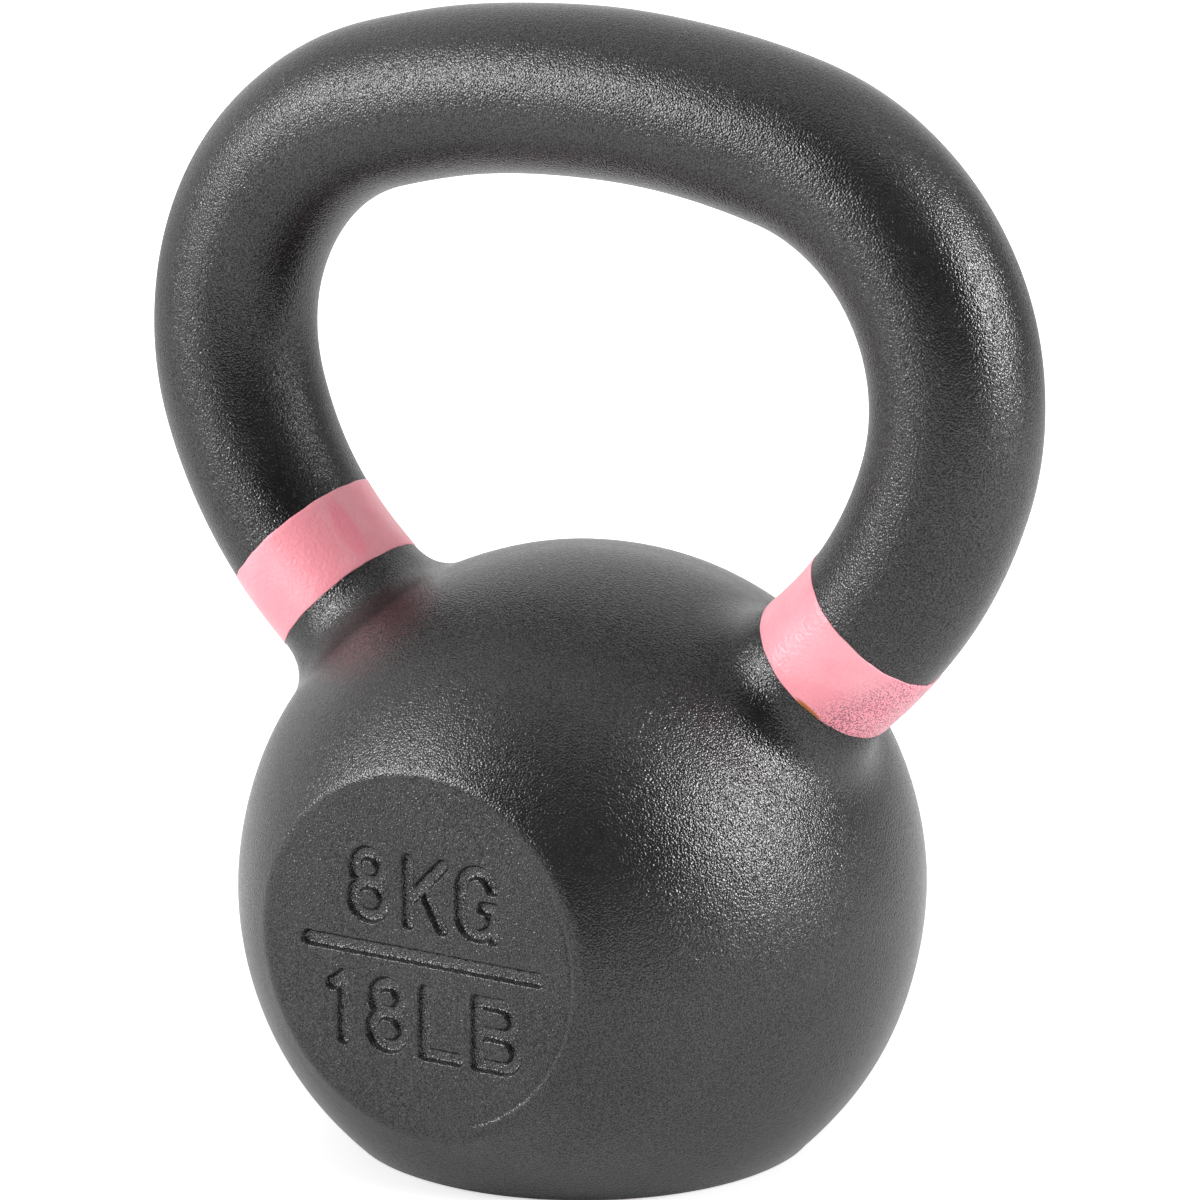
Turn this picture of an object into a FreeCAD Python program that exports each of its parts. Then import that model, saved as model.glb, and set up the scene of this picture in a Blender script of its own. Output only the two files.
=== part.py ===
import FreeCAD, Part
import math
import os

# An 8 kg kettlebell: one solid iron casting, its textured powder coat, and two enamel bands
# whose colour stands for the weight.  Sizes are in millimetres.
# The origin is the centre of the flat base.  +Z is up, X runs along the grip, and the
# numbered disc looks along -Y.  The outer sizes are those of the coated piece.

# Ball
ball_radius = 61.7
ball_height = 45.2           # from the base up to the ball's centre
face_offset = 52.4           # from the ball's centre out to each flat disc
face_rounding = 4.2          # where a disc turns into the ball

# Handle.  Its centreline lies in the XZ plane, from the middle of the grip down into the
# ball.  Each bend has a radius, and the slope below level that it has turned to at its end.
handle_radius = 14.8
handle_rise = 143.1          # from the ball's centre up to the grip's centreline
grip_bend = (157.0, 15.35)
corner_bend = (44.7, 107.2)
horn_bend = (73.5, 136.7)
root_length = 40.0           # straight end of each horn, most of it inside the ball
root_fillet = 9.5            # where a horn grows out of the ball

# Coats
coat_thickness = 0.3
band_thickness = 0.15
band_start = 140.3           # along the handle's centreline from the middle of the grip
band_end = 155.5

# Weight mark, sunk into the front disc: two lines of plain strokes with a bar between them
cap_height = 13.9
stroke_width = 2.7
mark_depth = 1.0
wall_lean = 30.0             # degrees that the walls of a stroke lean outwards
upper_baseline = 4.3         # above the ball's centre
lower_baseline = -18.7
upper_line = (("8", -10.92), ("K", -2.72), ("G", 8.13))
lower_line = (("1", -16.42), ("8", -7.32), ("L", 0.43), ("B", 11.28))
bar_width = 3.0
bar_height = -0.25           # of the bar's middle, above the ball's centre
bar_left = -23.57
bar_right = 23.53
cutter_overrun = 0.5         # how far the mark's cutters stand out of the disc

touching = 0.01              # closer than this counts as on a surface

Vector = FreeCAD.Vector
level = Vector(0, 1, 0)
centre = Vector(0, 0, ball_height)
middle_plane = Vector(1, 0, 0)


def mirrored(shape):
    return shape.mirror(Vector(0, 0, 0), middle_plane)


# ---------------------------------------------------------------- handle

def along(slope):
    """Direction of travel in the XZ plane, at a slope in degrees below level."""
    angle = math.radians(slope)
    return Vector(math.cos(angle), 0, -math.sin(angle))


def outwards(slope):
    """Direction at right angles to the travel, away from the inside of the bends."""
    angle = math.radians(slope)
    return Vector(math.sin(angle), 0, math.cos(angle))


def onwards(point, slope, bend, distance):
    """Point and slope after a distance along a bend, or along a straight with no bend."""
    if bend is None:
        return point + along(slope) * distance, slope
    turned = slope + math.degrees(distance / bend)
    return point + (outwards(turned) - outwards(slope)) * bend, turned


def stretches():
    """The right half's centreline as stretches: where each begins, its length, its first
    point and slope, and its bend radius."""
    found = []
    begin = 0.0
    slope = 0.0
    point = centre + Vector(0, 0, handle_rise)
    for bend, last_slope in (grip_bend, corner_bend, horn_bend):
        length = bend * math.radians(last_slope - slope)
        found.append((begin, length, point, slope, bend))
        point, slope = onwards(point, slope, bend, length)
        begin += length
    found.append((begin, root_length, point, slope, None))
    return found


def tube(radius, first, last):
    """Round bar along the right half's centreline, between two distances from the middle."""
    pieces = []
    for begin, length, point, slope, bend in stretches():
        start = max(first - begin, 0)
        finish = min(last - begin, length)
        if finish <= start:
            continue
        point, slope = onwards(point, slope, bend, start)
        disc = Part.Face(Part.Wire(Part.makeCircle(radius, point, along(slope))))
        if bend is None:
            pieces.append(disc.extrude(along(slope) * (finish - start)))
        else:
            hub = point - outwards(slope) * bend
            pieces.append(disc.revolve(hub, level, math.degrees((finish - start) / bend)))
    return pieces


def half_handle(radius):
    begin, length = stretches()[-1][:2]
    return tube(radius, 0, begin + length)


def band():
    """Enamel ring round the right horn, over the coat."""
    bore = tube(handle_radius, band_start, band_end)
    bent, straight_end = tube(handle_radius + band_thickness, band_start, band_end)
    return bent.fuse(straight_end).removeSplitter().cut(bore)


# ---------------------------------------------------------------- signs of the weight mark

# A sign is a list of strokes along their middle lines, from its own zero on the baseline.
# A line has two ends (x, z); a bow has a centre, a radius and two angles from +X towards +Z.

low = stroke_width / 2
high = cap_height - low


def line(start, finish):
    return ("line", start, finish)


def bow(hub, radius, first, last):
    return ("bow", hub, radius, first, last)


def sign_1():
    flag_width = 2.35
    flag_drop = 1.65
    return [line((0, low), (0, high)), line((0, high), (-flag_width, high - flag_drop))]


def sign_8():
    waist = 7.3
    strokes = []
    for bottom, top, spread in ((low, waist, 0.22), (waist, high, 0.09)):
        radius = (top - bottom) / 2
        strokes.append(bow((spread, bottom + radius), radius, -90, 90))
        strokes.append(line((spread, top), (-spread, top)))
        strokes.append(bow((-spread, bottom + radius), radius, 90, 270))
        strokes.append(line((-spread, bottom), (spread, bottom)))
    return strokes


def sign_k():
    arm_reach = 7.05
    arm_foot = (0.2, 5.6)
    leg_top = (3.2, 7.9)
    leg_reach = 6.95
    stem = line((0, low), (0, high))
    return [stem, line((arm_reach, high), arm_foot), line(leg_top, (leg_reach, low))]


def sign_g():
    radius = 3.25
    opening = 14
    shelf = 6.4
    shelf_start = 4.55
    top = (radius, high - radius)
    bottom = (radius, low + radius)
    return [
        line((0, bottom[1]), (0, top[1])),
        bow(top, radius, opening, 180),
        bow(bottom, radius, 180, 360),
        line((shelf_start, shelf), (2 * radius, shelf)),
        line((2 * radius, shelf), (2 * radius, low)),
    ]


def sign_l():
    foot = 6.75
    return [line((0, low), (0, high)), line((0, low), (foot, low))]


def sign_b():
    waist = 7.15
    lower_reach = 5.0
    upper_reach = 4.65
    strokes = [line((0, low), (0, high))]
    for bottom, top, reach in ((low, waist, lower_reach), (waist, high, upper_reach)):
        radius = (top - bottom) / 2
        strokes.append(line((0, bottom), (reach, bottom)))
        strokes.append(bow((reach, bottom + radius), radius, -90, 90))
        strokes.append(line((reach, top), (0, top)))
    return strokes


signs = {"1": sign_1, "8": sign_8, "K": sign_k, "G": sign_g, "L": sign_l, "B": sign_b}


# ---------------------------------------------------------------- sunk strokes

class Cutter:
    """Cuts strokes with leaning walls and round ends into a disc at face_y."""

    def __init__(self, width, face_y):
        lean = math.tan(math.radians(wall_lean))
        self.wide = width / 2 + cutter_overrun * lean
        self.narrow = width / 2 - mark_depth * lean
        self.top = face_y - cutter_overrun
        self.floor = face_y + mark_depth

    def end(self, x, z):
        height = self.floor - self.top
        return Part.makeCone(self.wide, self.narrow, height, Vector(x, self.top, z), level)

    def section(self, x, z, side):
        """Face across a stroke at (x, z), spread along the direction side."""
        top = Vector(x, self.top, z)
        floor = Vector(x, self.floor, z)
        corners = [top - side * self.wide, top + side * self.wide]
        corners += [floor + side * self.narrow, floor - side * self.narrow]
        return Part.Face(Part.makePolygon(corners + corners[:1]))

    def line(self, x, z, start, finish):
        first = Vector(x + start[0], 0, z + start[1])
        last = Vector(x + finish[0], 0, z + finish[1])
        side = (last - first).cross(level).normalize()
        body = self.section(first.x, first.z, side).extrude(last - first)
        return [body, self.end(first.x, first.z), self.end(last.x, last.z)]

    def bow(self, x, z, hub, radius, first, last):
        hub = Vector(x + hub[0], 0, z + hub[1])
        sides = []
        for angle in (math.radians(first), math.radians(last)):
            sides.append(Vector(math.cos(angle), 0, math.sin(angle)))
        ends = [hub + side * radius for side in sides]
        start = self.section(ends[0].x, ends[0].z, sides[0])
        pieces = [start.revolve(hub, level * -1, last - first)]
        if last - first < 360:
            pieces += [self.end(point.x, point.z) for point in ends]
        return pieces

    def sign(self, name, x, z):
        pieces = []
        for kind, *stroke in signs[name]():
            cut = self.line if kind == "line" else self.bow
            pieces += cut(x, z, *stroke)
        return pieces


def weight_mark(inset):
    """Cutters of the whole mark, with walls and floors that lie inset below the coated ones."""
    lean = math.radians(wall_lean)
    widening = 2 * inset * (1 - math.sin(lean)) / math.cos(lean)
    face_y = inset - face_offset
    letters = Cutter(stroke_width + widening, face_y)
    mark = []
    for baseline, signs_in_line in ((upper_baseline, upper_line), (lower_baseline, lower_line)):
        for name, x in signs_in_line:
            mark += letters.sign(name, x, ball_height + baseline)
    bar = Cutter(bar_width + widening, face_y)
    mark += bar.line(0, ball_height + bar_height, (bar_left, 0), (bar_right, 0))
    return mark


# ---------------------------------------------------------------- casting and coat

def flattened_ball(inset):
    """Ball with two flat discs, turned about the Y axis, then cut off level at its base."""
    radius = ball_radius - inset
    side = face_offset - inset
    rounding = face_rounding - inset
    flat = math.sqrt((radius - rounding) ** 2 - (side - rounding) ** 2)
    turn = math.atan2(flat, side - rounding)

    def at(y, down):
        return Vector(0, y, ball_height - down)

    def on_rim(angle, sign):
        y = side - rounding + rounding * math.cos(angle)
        return at(sign * y, flat + rounding * math.sin(angle))

    outline = [
        Part.makeLine(at(-side, 0), at(-side, flat)),
        Part.Arc(at(-side, flat), on_rim(turn / 2, -1), on_rim(turn, -1)).toShape(),
        Part.Arc(on_rim(turn, -1), at(0, radius), on_rim(turn, 1)).toShape(),
        Part.Arc(on_rim(turn, 1), on_rim(turn / 2, 1), at(side, flat)).toShape(),
        Part.makeLine(at(side, flat), at(side, 0)),
        Part.makeLine(at(side, 0), at(-side, 0)),
    ]
    ball = Part.Face(Part.Wire(outline)).revolve(centre, level, 360)
    below = Part.makeBox(2 * radius, 2 * radius, radius, Vector(-radius, -radius, -radius))
    return ball.cut(below)


def horn_joints(shape, inset):
    """Edges where the horns run into the ball."""
    found = []
    for edge in shape.Edges:
        points = edge.discretize(9)
        on_ball = all(abs((p - centre).Length - ball_radius + inset) < touching for p in points)
        on_horn = all(abs(p.y) < handle_radius and p.z > ball_height for p in points)
        if on_ball and on_horn:
            found.append(edge)
    return found


def kettlebell(inset):
    """The whole form, with its surface moved inwards by inset everywhere but at the base."""
    right = half_handle(handle_radius - inset)
    left = [mirrored(piece) for piece in right]
    whole = flattened_ball(inset).fuse(right + left).removeSplitter()
    whole = whole.makeFillet(root_fillet + inset, horn_joints(whole, inset))
    return whole.cut(weight_mark(inset)).removeSplitter()


coated = kettlebell(0)
casting = kettlebell(coat_thickness)
right_band = band().cut(coated)
nodes = {
    "iron_casting": casting,
    "powder_coat": coated.cut(casting),
    "left_band": mirrored(right_band),
    "right_band": right_band,
}

os.makedirs("parts", exist_ok=True)
for name, shape in nodes.items():
    shape.exportStep("parts/" + name + ".step")
    print(name, len(shape.Solids), round(shape.Volume, 1), shape.isValid(), len(shape.Faces))
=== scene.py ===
import math

import bmesh
import bpy
import numpy as np
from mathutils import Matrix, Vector
from mathutils.geometry import delaunay_2d_cdt


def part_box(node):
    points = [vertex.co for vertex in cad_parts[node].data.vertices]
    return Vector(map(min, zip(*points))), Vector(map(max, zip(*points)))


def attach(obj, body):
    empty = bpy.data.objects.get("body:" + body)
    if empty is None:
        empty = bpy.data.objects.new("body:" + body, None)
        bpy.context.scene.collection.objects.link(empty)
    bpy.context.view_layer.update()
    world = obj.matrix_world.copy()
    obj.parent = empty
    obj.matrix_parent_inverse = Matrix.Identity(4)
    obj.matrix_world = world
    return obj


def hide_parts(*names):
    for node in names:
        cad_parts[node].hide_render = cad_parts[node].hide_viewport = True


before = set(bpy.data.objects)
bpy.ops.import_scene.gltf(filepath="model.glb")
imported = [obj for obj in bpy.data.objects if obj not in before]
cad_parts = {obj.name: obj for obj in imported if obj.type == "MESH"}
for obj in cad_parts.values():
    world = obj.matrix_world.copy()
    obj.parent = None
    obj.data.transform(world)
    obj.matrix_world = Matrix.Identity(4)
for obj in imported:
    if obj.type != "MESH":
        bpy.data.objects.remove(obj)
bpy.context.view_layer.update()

# An 8 kg kettlebell: a cast ball with two flat discs and a bent handle, under a pebbled
# powder coat, with a pink enamel band round each horn and the weight sunk into the front disc.
# Shapes are worked out in millimetres, from the ball's centre, and go to metres at the end.
# +Z is up, X runs along the grip, and the numbered disc looks along -Y.

MM = 0.001

# ---------------------------------------------------------------- driving dimensions

coat_low, coat_high = (np.array(corner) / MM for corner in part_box("powder_coat"))
casting_low, _ = (np.array(corner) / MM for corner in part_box("iron_casting"))

ball_radius = 61.7
ball_height = 45.2                    # from the base up to the ball's centre
disc_offset = -coat_low[1]            # from the ball's centre out to each flat disc
disc_rounding = 4.2                   # where a disc turns into the ball
disc_core = ball_radius - disc_rounding   # from the ball's centre to the rounding's own centre
disc_side = disc_offset - disc_rounding   # how far out that centre lies along Y
flat_reach = math.sqrt(disc_core ** 2 - disc_side ** 2)   # radius of a disc's flat part
coat_thickness = casting_low[1] - coat_low[1]
base_rounding = 1.0                   # where the ball turns into the flat base
tuck_in = 0.3                         # how far the coat's edge then runs on into the iron,
tuck_up = 0.8                         # inwards and upwards, where it closes

grip_radius = 14.93
corner_radius = 14.96
shoulder_radius = 14.89
horn_radius = 14.73
grip_rise = coat_high[2] - ball_height - grip_radius   # up to the grip's centreline
grip_bend = (156.6, 15.4)             # each bend: its radius, and the slope at its end
corner_bend = (44.67, 106.6)
horn_bend = (72.4, 136.9)
root_length = 46.0                    # straight end of each horn, most of it in the ball
root_blend = 8.3                      # how widely a horn flows into the ball

unevenness = 0.05                     # how far the casting wanders from its true shape
shortest_wave = 22                    # of the waves in which it wanders
longest_wave = 48
wave_count = 14

# Sunk weight mark
cap_height = 13.9
stroke_width = 2.7
bar_width = 3.0
mark_depth = 1.0
wall_lean = 30.0                      # degrees that the walls of a stroke lean outwards
edge_softness = 0.15                  # rounding of a wall's top edge, in depth
foot_softness = 0.1                   # rounding of a wall's foot, in depth
edge_wobble = 0.03                    # how far the strokes' outlines sway
floor_bowl = 0.3                      # how far the bowed floors rise towards their walls
bow_lowest = -4.5                     # the floors are bowed above this height only,
bow_rightmost = 15                    # and the bar's floor only to the left of this place
bow_fade_below = 2                    # how far it takes the bow to come in from below,
bow_fade_right = 9                    # from the right end of the bar's bow
bow_fade_left = 6                     # and from its left end
stroke_flow = 0.25                    # how widely the strokes of a sign run into each other
upper_baseline = 4.3                  # above the ball's centre
lower_baseline = -18.7
upper_line = (("8", -10.92), ("K", -2.72), ("G", 8.13))
lower_line = (("1", -16.42), ("8", -7.32), ("L", 0.43), ("B", 11.28))
bar_height = -0.25                    # of the bar's middle, above the ball's centre
bar_left = -23.57
bar_right = 23.53
shelter_starts = 0.6                  # depth at which the coat in the mark gets rougher
shelter_full = 0.9

# Smoother coat along the discs' edges, by distance past the flat part: where it starts,
# where it is full, where it wanes and where it is gone
smooth_edge = (-0.6, 0.2, 0.7, 1.7)

# Witness line that the pattern left near the front disc's right edge
witness_radius = 30.3
witness_width = 0.5
witness_depth = 0.13
witness_middle = -22                  # degrees from +X towards +Z
witness_reach = 55                    # how many degrees it runs to each side of there
witness_fade = 15                     # how many of those degrees it takes to fade out
ridge_offset = 0.7                    # of the low ridge just outside it
ridge_share = 0.6                     # the ridge's height as a share of the line's depth

# Enamel bands, by distance along the handle's centreline from the middle of the grip:
# (upper edge on the outer side, upper edge on the inner side, lower edge on the outer side,
# lower edge on the inner side, how much lower the upper edge is at the front)
band_reach = {
    "left_band": (141.5, 138.7, 155.0, 156.1, 0.6),
    "right_band": (142.3, 138.8, 155.3, 155.6, -0.1),
}
band_thickness = 0.12
band_sink = 0.06                      # how far a band's inner face lies within the coat
band_lip = ((0.0, -band_sink), (0.0, 0.03), (0.006, 0.09))   # share of the width, and height
edge_waves = ((3, 0.10), (7, 0.06), (17, 0.05))   # waves round the upper edge, and their sway
lower_sway = 0.8                      # how much of that sway the lower edge has

# How fine the meshes are
skin_step = 1.55                      # size of the coat's facets away from the discs
patch_radius = 37.6                   # a disc's own mesh reaches this far from its middle
mark_spacing = 0.28                   # between points along the mark's walls
contour_step = 0.25                   # of the lattice on which those walls are traced
ring_spacing = 0.75                   # between points where a disc turns into the ball
ring_count = 9                        # rings of points there
ring_beyond = 0.8                     # from the last of them to one more, on the ball
front_spacing = 1.15                  # between points on the front disc, clear of the mark
back_spacing = 2.2                    # and on the plain back disc
row_spacing = 0.87                    # between rows of those points, as a share of the spacing
mark_clearance = 0.15                 # between them and the mark, besides half the spacing
band_facets = 160                     # round each enamel band
outer_rows = 15                       # of facets across a band's outer face
inner_rows = 13                       # and across its inner face


# ---------------------------------------------------------------- camera and studio

camera_azimuth = 31.96
camera_elevation = 16.80
camera_distance = 993.6
camera_aim = (3.15, 50.66)            # aim point right of and above the ball's centre
camera_lens = 165.94

opening_azimuth = 30                  # middle of the studio's dark doorway, and its reach
opening_elevation = 16
opening_reach = 60
cloth_azimuth = 138                   # middle of a black cloth hung behind at the right
cloth_elevation = 15
cloth_reach = 45
cloth_share = 0.6                     # how much of the wall's light it takes away
wall_tone = 0.75                      # of the walls' light on the object
dark_tone = 0.03                      # of the doorway
lamp_distance = 0.95
lamp_aim = (0, 0, 0.09)


def direction(azimuth, elevation):
    """Unit vector towards a place round the object: azimuth 0 is -Y, and 90 is +X."""
    turn = math.radians(azimuth)
    rise = math.radians(elevation)
    level = math.cos(rise)
    return Vector((math.sin(turn) * level, -math.cos(turn) * level, math.sin(rise)))


def add_camera():
    """Camera a metre away, in front at the right and above the grip."""
    middle = Vector((0, 0, ball_height))
    back = direction(camera_azimuth, camera_elevation)
    right = direction(camera_azimuth + 90, 0)
    up = back.cross(right)
    aim = middle + right * camera_aim[0] + up * camera_aim[1]
    place = middle + back * camera_distance
    data = bpy.data.cameras.new("camera")
    data.lens = camera_lens
    data.sensor_width = 36
    camera = bpy.data.objects.new("camera", data)
    camera.location = place * MM
    camera.rotation_mode = "QUATERNION"
    camera.rotation_quaternion = (aim - place).to_track_quat("-Z", "Y")
    bpy.context.collection.objects.link(camera)
    bpy.context.scene.camera = camera


# ---------------------------------------------------------------- the kettlebell's form

def blend(first, second, width):
    """The smaller of two distances, with a soft change-over of that width."""
    share = np.clip(0.5 + 0.5 * (second - first) / width, 0, 1)
    return second * (1 - share) + first * share - width * share * (1 - share)


def faded(value, none, full):
    """0 where a measure has one value and 1 where it has another, and evenly between them."""
    return np.clip((value - none) / (full - none), 0, 1)


def ball_distance(points):
    """Distance outside the ball with its two discs, turned about the Y axis."""
    out = np.hypot(points[..., 0], points[..., 2])
    along = np.abs(points[..., 1])
    far = np.hypot(out, along)
    round_part = far - disc_core
    flat_part = along - disc_side
    corner = np.hypot(out - flat_reach, flat_part)
    on_corner = (out > flat_reach) & (along * disc_core > far * disc_side)
    inner = np.maximum(round_part, flat_part)
    return np.where(on_corner, corner, inner) - disc_rounding


def outwards(slope):
    """Across the handle, away from the inside of its bends, at a slope below level."""
    return np.stack([np.sin(slope), np.cos(slope)], -1)


def onwards(slope):
    """Along the handle, at a slope below level."""
    return np.stack([np.cos(slope), -np.sin(slope)], -1)


def handle_stretches():
    """The right half's centreline: each stretch's begin, length, first point, slope and bend."""
    found = []
    begin = 0.0
    slope = 0.0
    point = np.array([0.0, grip_rise])
    for bend, last in (grip_bend, corner_bend, horn_bend):
        last = math.radians(last)
        length = bend * (last - slope)
        found.append((begin, length, point, slope, bend))
        point = point + (outwards(last) - outwards(slope)) * bend
        slope = last
        begin += length
    found.append((begin, root_length, point, slope, None))
    return found


stretches = handle_stretches()


def handle_girth(reach):
    """Radius of the handle at a distance along its centreline."""
    _, corner, horn, root = (stretch[0] for stretch in stretches)
    places = [0, corner, (corner + horn) / 2, horn, root]
    radii = [grip_radius, (grip_radius + corner_radius) / 2, corner_radius]
    radii += [shoulder_radius, horn_radius]
    return np.interp(reach, places, radii)


def handle_point(reach):
    """Point and slope of the centreline at distances from the middle of the grip."""
    reach = np.asarray(reach, float)
    point = np.zeros(reach.shape + (2,))
    slope = np.zeros(reach.shape)
    for begin, _, start, first, bend in stretches:
        here = reach >= begin
        run = reach[here] - begin
        if bend is None:
            slope[here] = first
            point[here] = start + onwards(first) * run[:, None]
        else:
            slope[here] = first + run / bend
            point[here] = start + (outwards(slope[here]) - outwards(first)) * bend
    return point, slope


def handle_distance(points):
    """Distance outside the handle, whose left half mirrors the right."""
    across = np.abs(points[..., 0])
    up = points[..., 2]
    nearest = np.full(across.shape, np.inf)
    for begin, length, start, first, bend in stretches:
        if bend is None:
            ahead = onwards(first)
            run = (across - start[0]) * ahead[0] + (up - start[1]) * ahead[1]
            run = np.clip(run, 0, length)
            x = start[0] + ahead[0] * run
            z = start[1] + ahead[1] * run
        else:
            hub = start - outwards(first) * bend
            slope = np.arctan2(across - hub[0], up - hub[1])
            slope = np.clip(slope, first, first + length / bend)
            run = (slope - first) * bend
            x = hub[0] + bend * np.sin(slope)
            z = hub[1] + bend * np.cos(slope)
        gap = np.sqrt((across - x) ** 2 + (up - z) ** 2 + points[..., 1] ** 2)
        nearest = np.minimum(nearest, gap - handle_girth(begin + run))
    return nearest


def true_form(points):
    """Distance outside the kettlebell's true shape, before its base is cut."""
    return blend(ball_distance(points), handle_distance(points), root_blend)


rng = np.random.default_rng(8)
wave_lengths = rng.uniform(shortest_wave, longest_wave, wave_count)
wave_turns = rng.normal(size=(wave_count, 3))
wave_turns *= (2 * math.pi / wave_lengths / np.linalg.norm(wave_turns, axis=1))[:, None]
wave_starts = rng.uniform(0, 2 * math.pi, wave_count)


def wander(points):
    """How far the cast surface lies below its true shape: long, shallow waves."""
    swell = np.zeros(points.shape[:-1])
    for turn, start in zip(wave_turns, wave_starts):
        swell += np.sin(points @ turn + start)
    return swell * unevenness / math.sqrt(wave_count / 2)


def cast_form(points):
    """Distance outside the kettlebell's cast surface, before its base is cut."""
    return true_form(points) + wander(points)


def slopes(field, points, step=0.02):
    """How fast a field changes along each axis."""
    found = np.zeros_like(points)
    for axis in range(points.shape[-1]):
        move = np.zeros(points.shape[-1])
        move[axis] = step
        found[..., axis] = (field(points + move) - field(points - move)) / (2 * step)
    return found


def settle(field, points, level=0.0, rounds=4):
    """Moves points down or up a field until they lie on a level of it."""
    least_steepness = 0.05
    for _ in range(rounds):
        steep = slopes(field, points)
        steepness = np.maximum((steep ** 2).sum(-1), least_steepness)
        points = points - steep * ((field(points) - level) / steepness)[..., None]
    return points


# ---------------------------------------------------------------- skin over a form

def skin(form, low, high, step):
    """Quads over a form: one point for every cell of a lattice that its surface crosses."""
    axes = [np.arange(a - step, b + 2 * step, step) for a, b in zip(low, high)]
    inside = form(np.stack(np.meshgrid(*axes, indexing="ij"), -1)) < 0
    faces = []
    for axis in range(3):
        steps = [slice(None)] * 3
        ahead = [slice(None)] * 3
        steps[axis] = slice(0, -1)
        ahead[axis] = slice(1, None)
        crossed = np.argwhere(inside[tuple(steps)] != inside[tuple(ahead)])
        one = np.eye(3, dtype=int)[(axis + 1) % 3]
        two = np.eye(3, dtype=int)[(axis + 2) % 3]
        corners = np.array([one * 0, -one, -one - two, -two])
        faces_here = crossed[:, None] + corners
        leaving = inside[tuple(crossed.T)]
        faces_here[~leaving] = faces_here[~leaving][:, ::-1]
        faces.append(faces_here)
    places = np.concatenate(faces)
    numbers = np.ravel_multi_index(places.reshape(-1, 3).T, inside.shape)
    used, faces = np.unique(numbers, return_inverse=True)
    places = np.stack(np.unravel_index(used, inside.shape), -1)
    points = np.array([axis[0] for axis in axes]) + (places + 0.5) * step
    return points, faces.reshape(-1, 4)


def relax(points, faces, form, rounds):
    """Evens out a skin's facets and keeps them on the form."""
    edges = np.concatenate([faces[:, [i, (i + 1) % 4]] for i in range(4)])
    count = np.bincount(edges[:, 0], minlength=len(points)).astype(float)
    for _ in range(rounds):
        total = np.zeros_like(points)
        for axis in range(3):
            total[:, axis] = np.bincount(edges[:, 0], points[edges[:, 1], axis], len(points))
        points = settle(form, total / count[:, None], rounds=2)
    return points


# ---------------------------------------------------------------- signs of the weight mark

# A sign is a list of strokes along their middle lines, from its own zero on the baseline.
# A line has two ends (x, z); a bow has a centre, a radius and two angles from +X towards +Z.

lowest = stroke_width / 2             # middle lines of a sign's lowest and highest strokes
highest = cap_height - lowest


def line(start, finish):
    return ("line", start, finish)


def bow(hub, radius, first, last):
    return ("bow", hub, radius, first, last)


def sign_1():
    flag_width = 2.35
    flag_drop = 1.65
    stem = line((0, lowest), (0, highest))
    return [stem, line((0, highest), (-flag_width, highest - flag_drop))]


def sign_8():
    waist = 7.3
    lower_spread = 0.22
    upper_spread = 0.09
    strokes = []
    bowls = ((lowest, waist, lower_spread), (waist, highest, upper_spread))
    for bottom, top, spread in bowls:
        radius = (top - bottom) / 2
        strokes.append(bow((spread, bottom + radius), radius, -90, 90))
        strokes.append(line((spread, top), (-spread, top)))
        strokes.append(bow((-spread, bottom + radius), radius, 90, 270))
        strokes.append(line((-spread, bottom), (spread, bottom)))
    return strokes


def sign_k():
    arm_reach = 7.05
    arm_foot = (0.2, 5.6)
    leg_top = (3.2, 7.9)
    leg_reach = 6.95
    stem = line((0, lowest), (0, highest))
    return [stem, line((arm_reach, highest), arm_foot), line(leg_top, (leg_reach, lowest))]


def sign_g():
    radius = 3.25
    opening = 14
    shelf = 6.4
    shelf_start = 4.55
    top = (radius, highest - radius)
    bottom = (radius, lowest + radius)
    return [
        line((0, bottom[1]), (0, top[1])),
        bow(top, radius, opening, 180),
        bow(bottom, radius, 180, 360),
        line((shelf_start, shelf), (2 * radius, shelf)),
        line((2 * radius, shelf), (2 * radius, lowest)),
    ]


def sign_l():
    foot = 6.75
    return [line((0, lowest), (0, highest)), line((0, lowest), (foot, lowest))]


def sign_b():
    waist = 7.15
    lower_reach = 5.0
    upper_reach = 4.65
    strokes = [line((0, lowest), (0, highest))]
    bowls = ((lowest, waist, lower_reach), (waist, highest, upper_reach))
    for bottom, top, reach in bowls:
        radius = (top - bottom) / 2
        strokes.append(line((0, bottom), (reach, bottom)))
        strokes.append(bow((reach, bottom + radius), radius, -90, 90))
        strokes.append(line((reach, top), (0, top)))
    return strokes


signs = {"1": sign_1, "8": sign_8, "K": sign_k, "G": sign_g, "L": sign_l, "B": sign_b}


def line_distance(points, start, finish):
    """Distance from a straight middle line."""
    start = np.array(start, float)
    run = np.array(finish, float) - start
    share = np.clip((points - start) @ run / (run @ run), 0, 1)
    return np.linalg.norm(points - start - share[..., None] * run, axis=-1)


def bow_distance(points, hub, radius, first, last):
    """Distance from a bowed middle line."""
    away = points - np.array(hub, float)
    middle = math.radians((first + last) / 2)
    half = math.radians((last - first) / 2)
    angle = np.arctan2(away[..., 1], away[..., 0]) - middle
    angle = np.clip((angle + math.pi) % (2 * math.pi) - math.pi, -half, half) + middle
    nearest = np.stack([np.cos(angle), np.sin(angle)], -1) * radius
    return np.linalg.norm(away - nearest, axis=-1)


def mark_strokes():
    """Every stroke of the mark: its kind, its place on the disc and its width."""
    found = [("line", (0, bar_height), bar_width, ((bar_left, 0), (bar_right, 0)))]
    for baseline, signs_in_line in ((upper_baseline, upper_line), (lower_baseline, lower_line)):
        for name, x in signs_in_line:
            for kind, *shape in signs[name]():
                found.append((kind, (x, baseline), stroke_width, shape))
    return found


all_strokes = mark_strokes()


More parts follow.
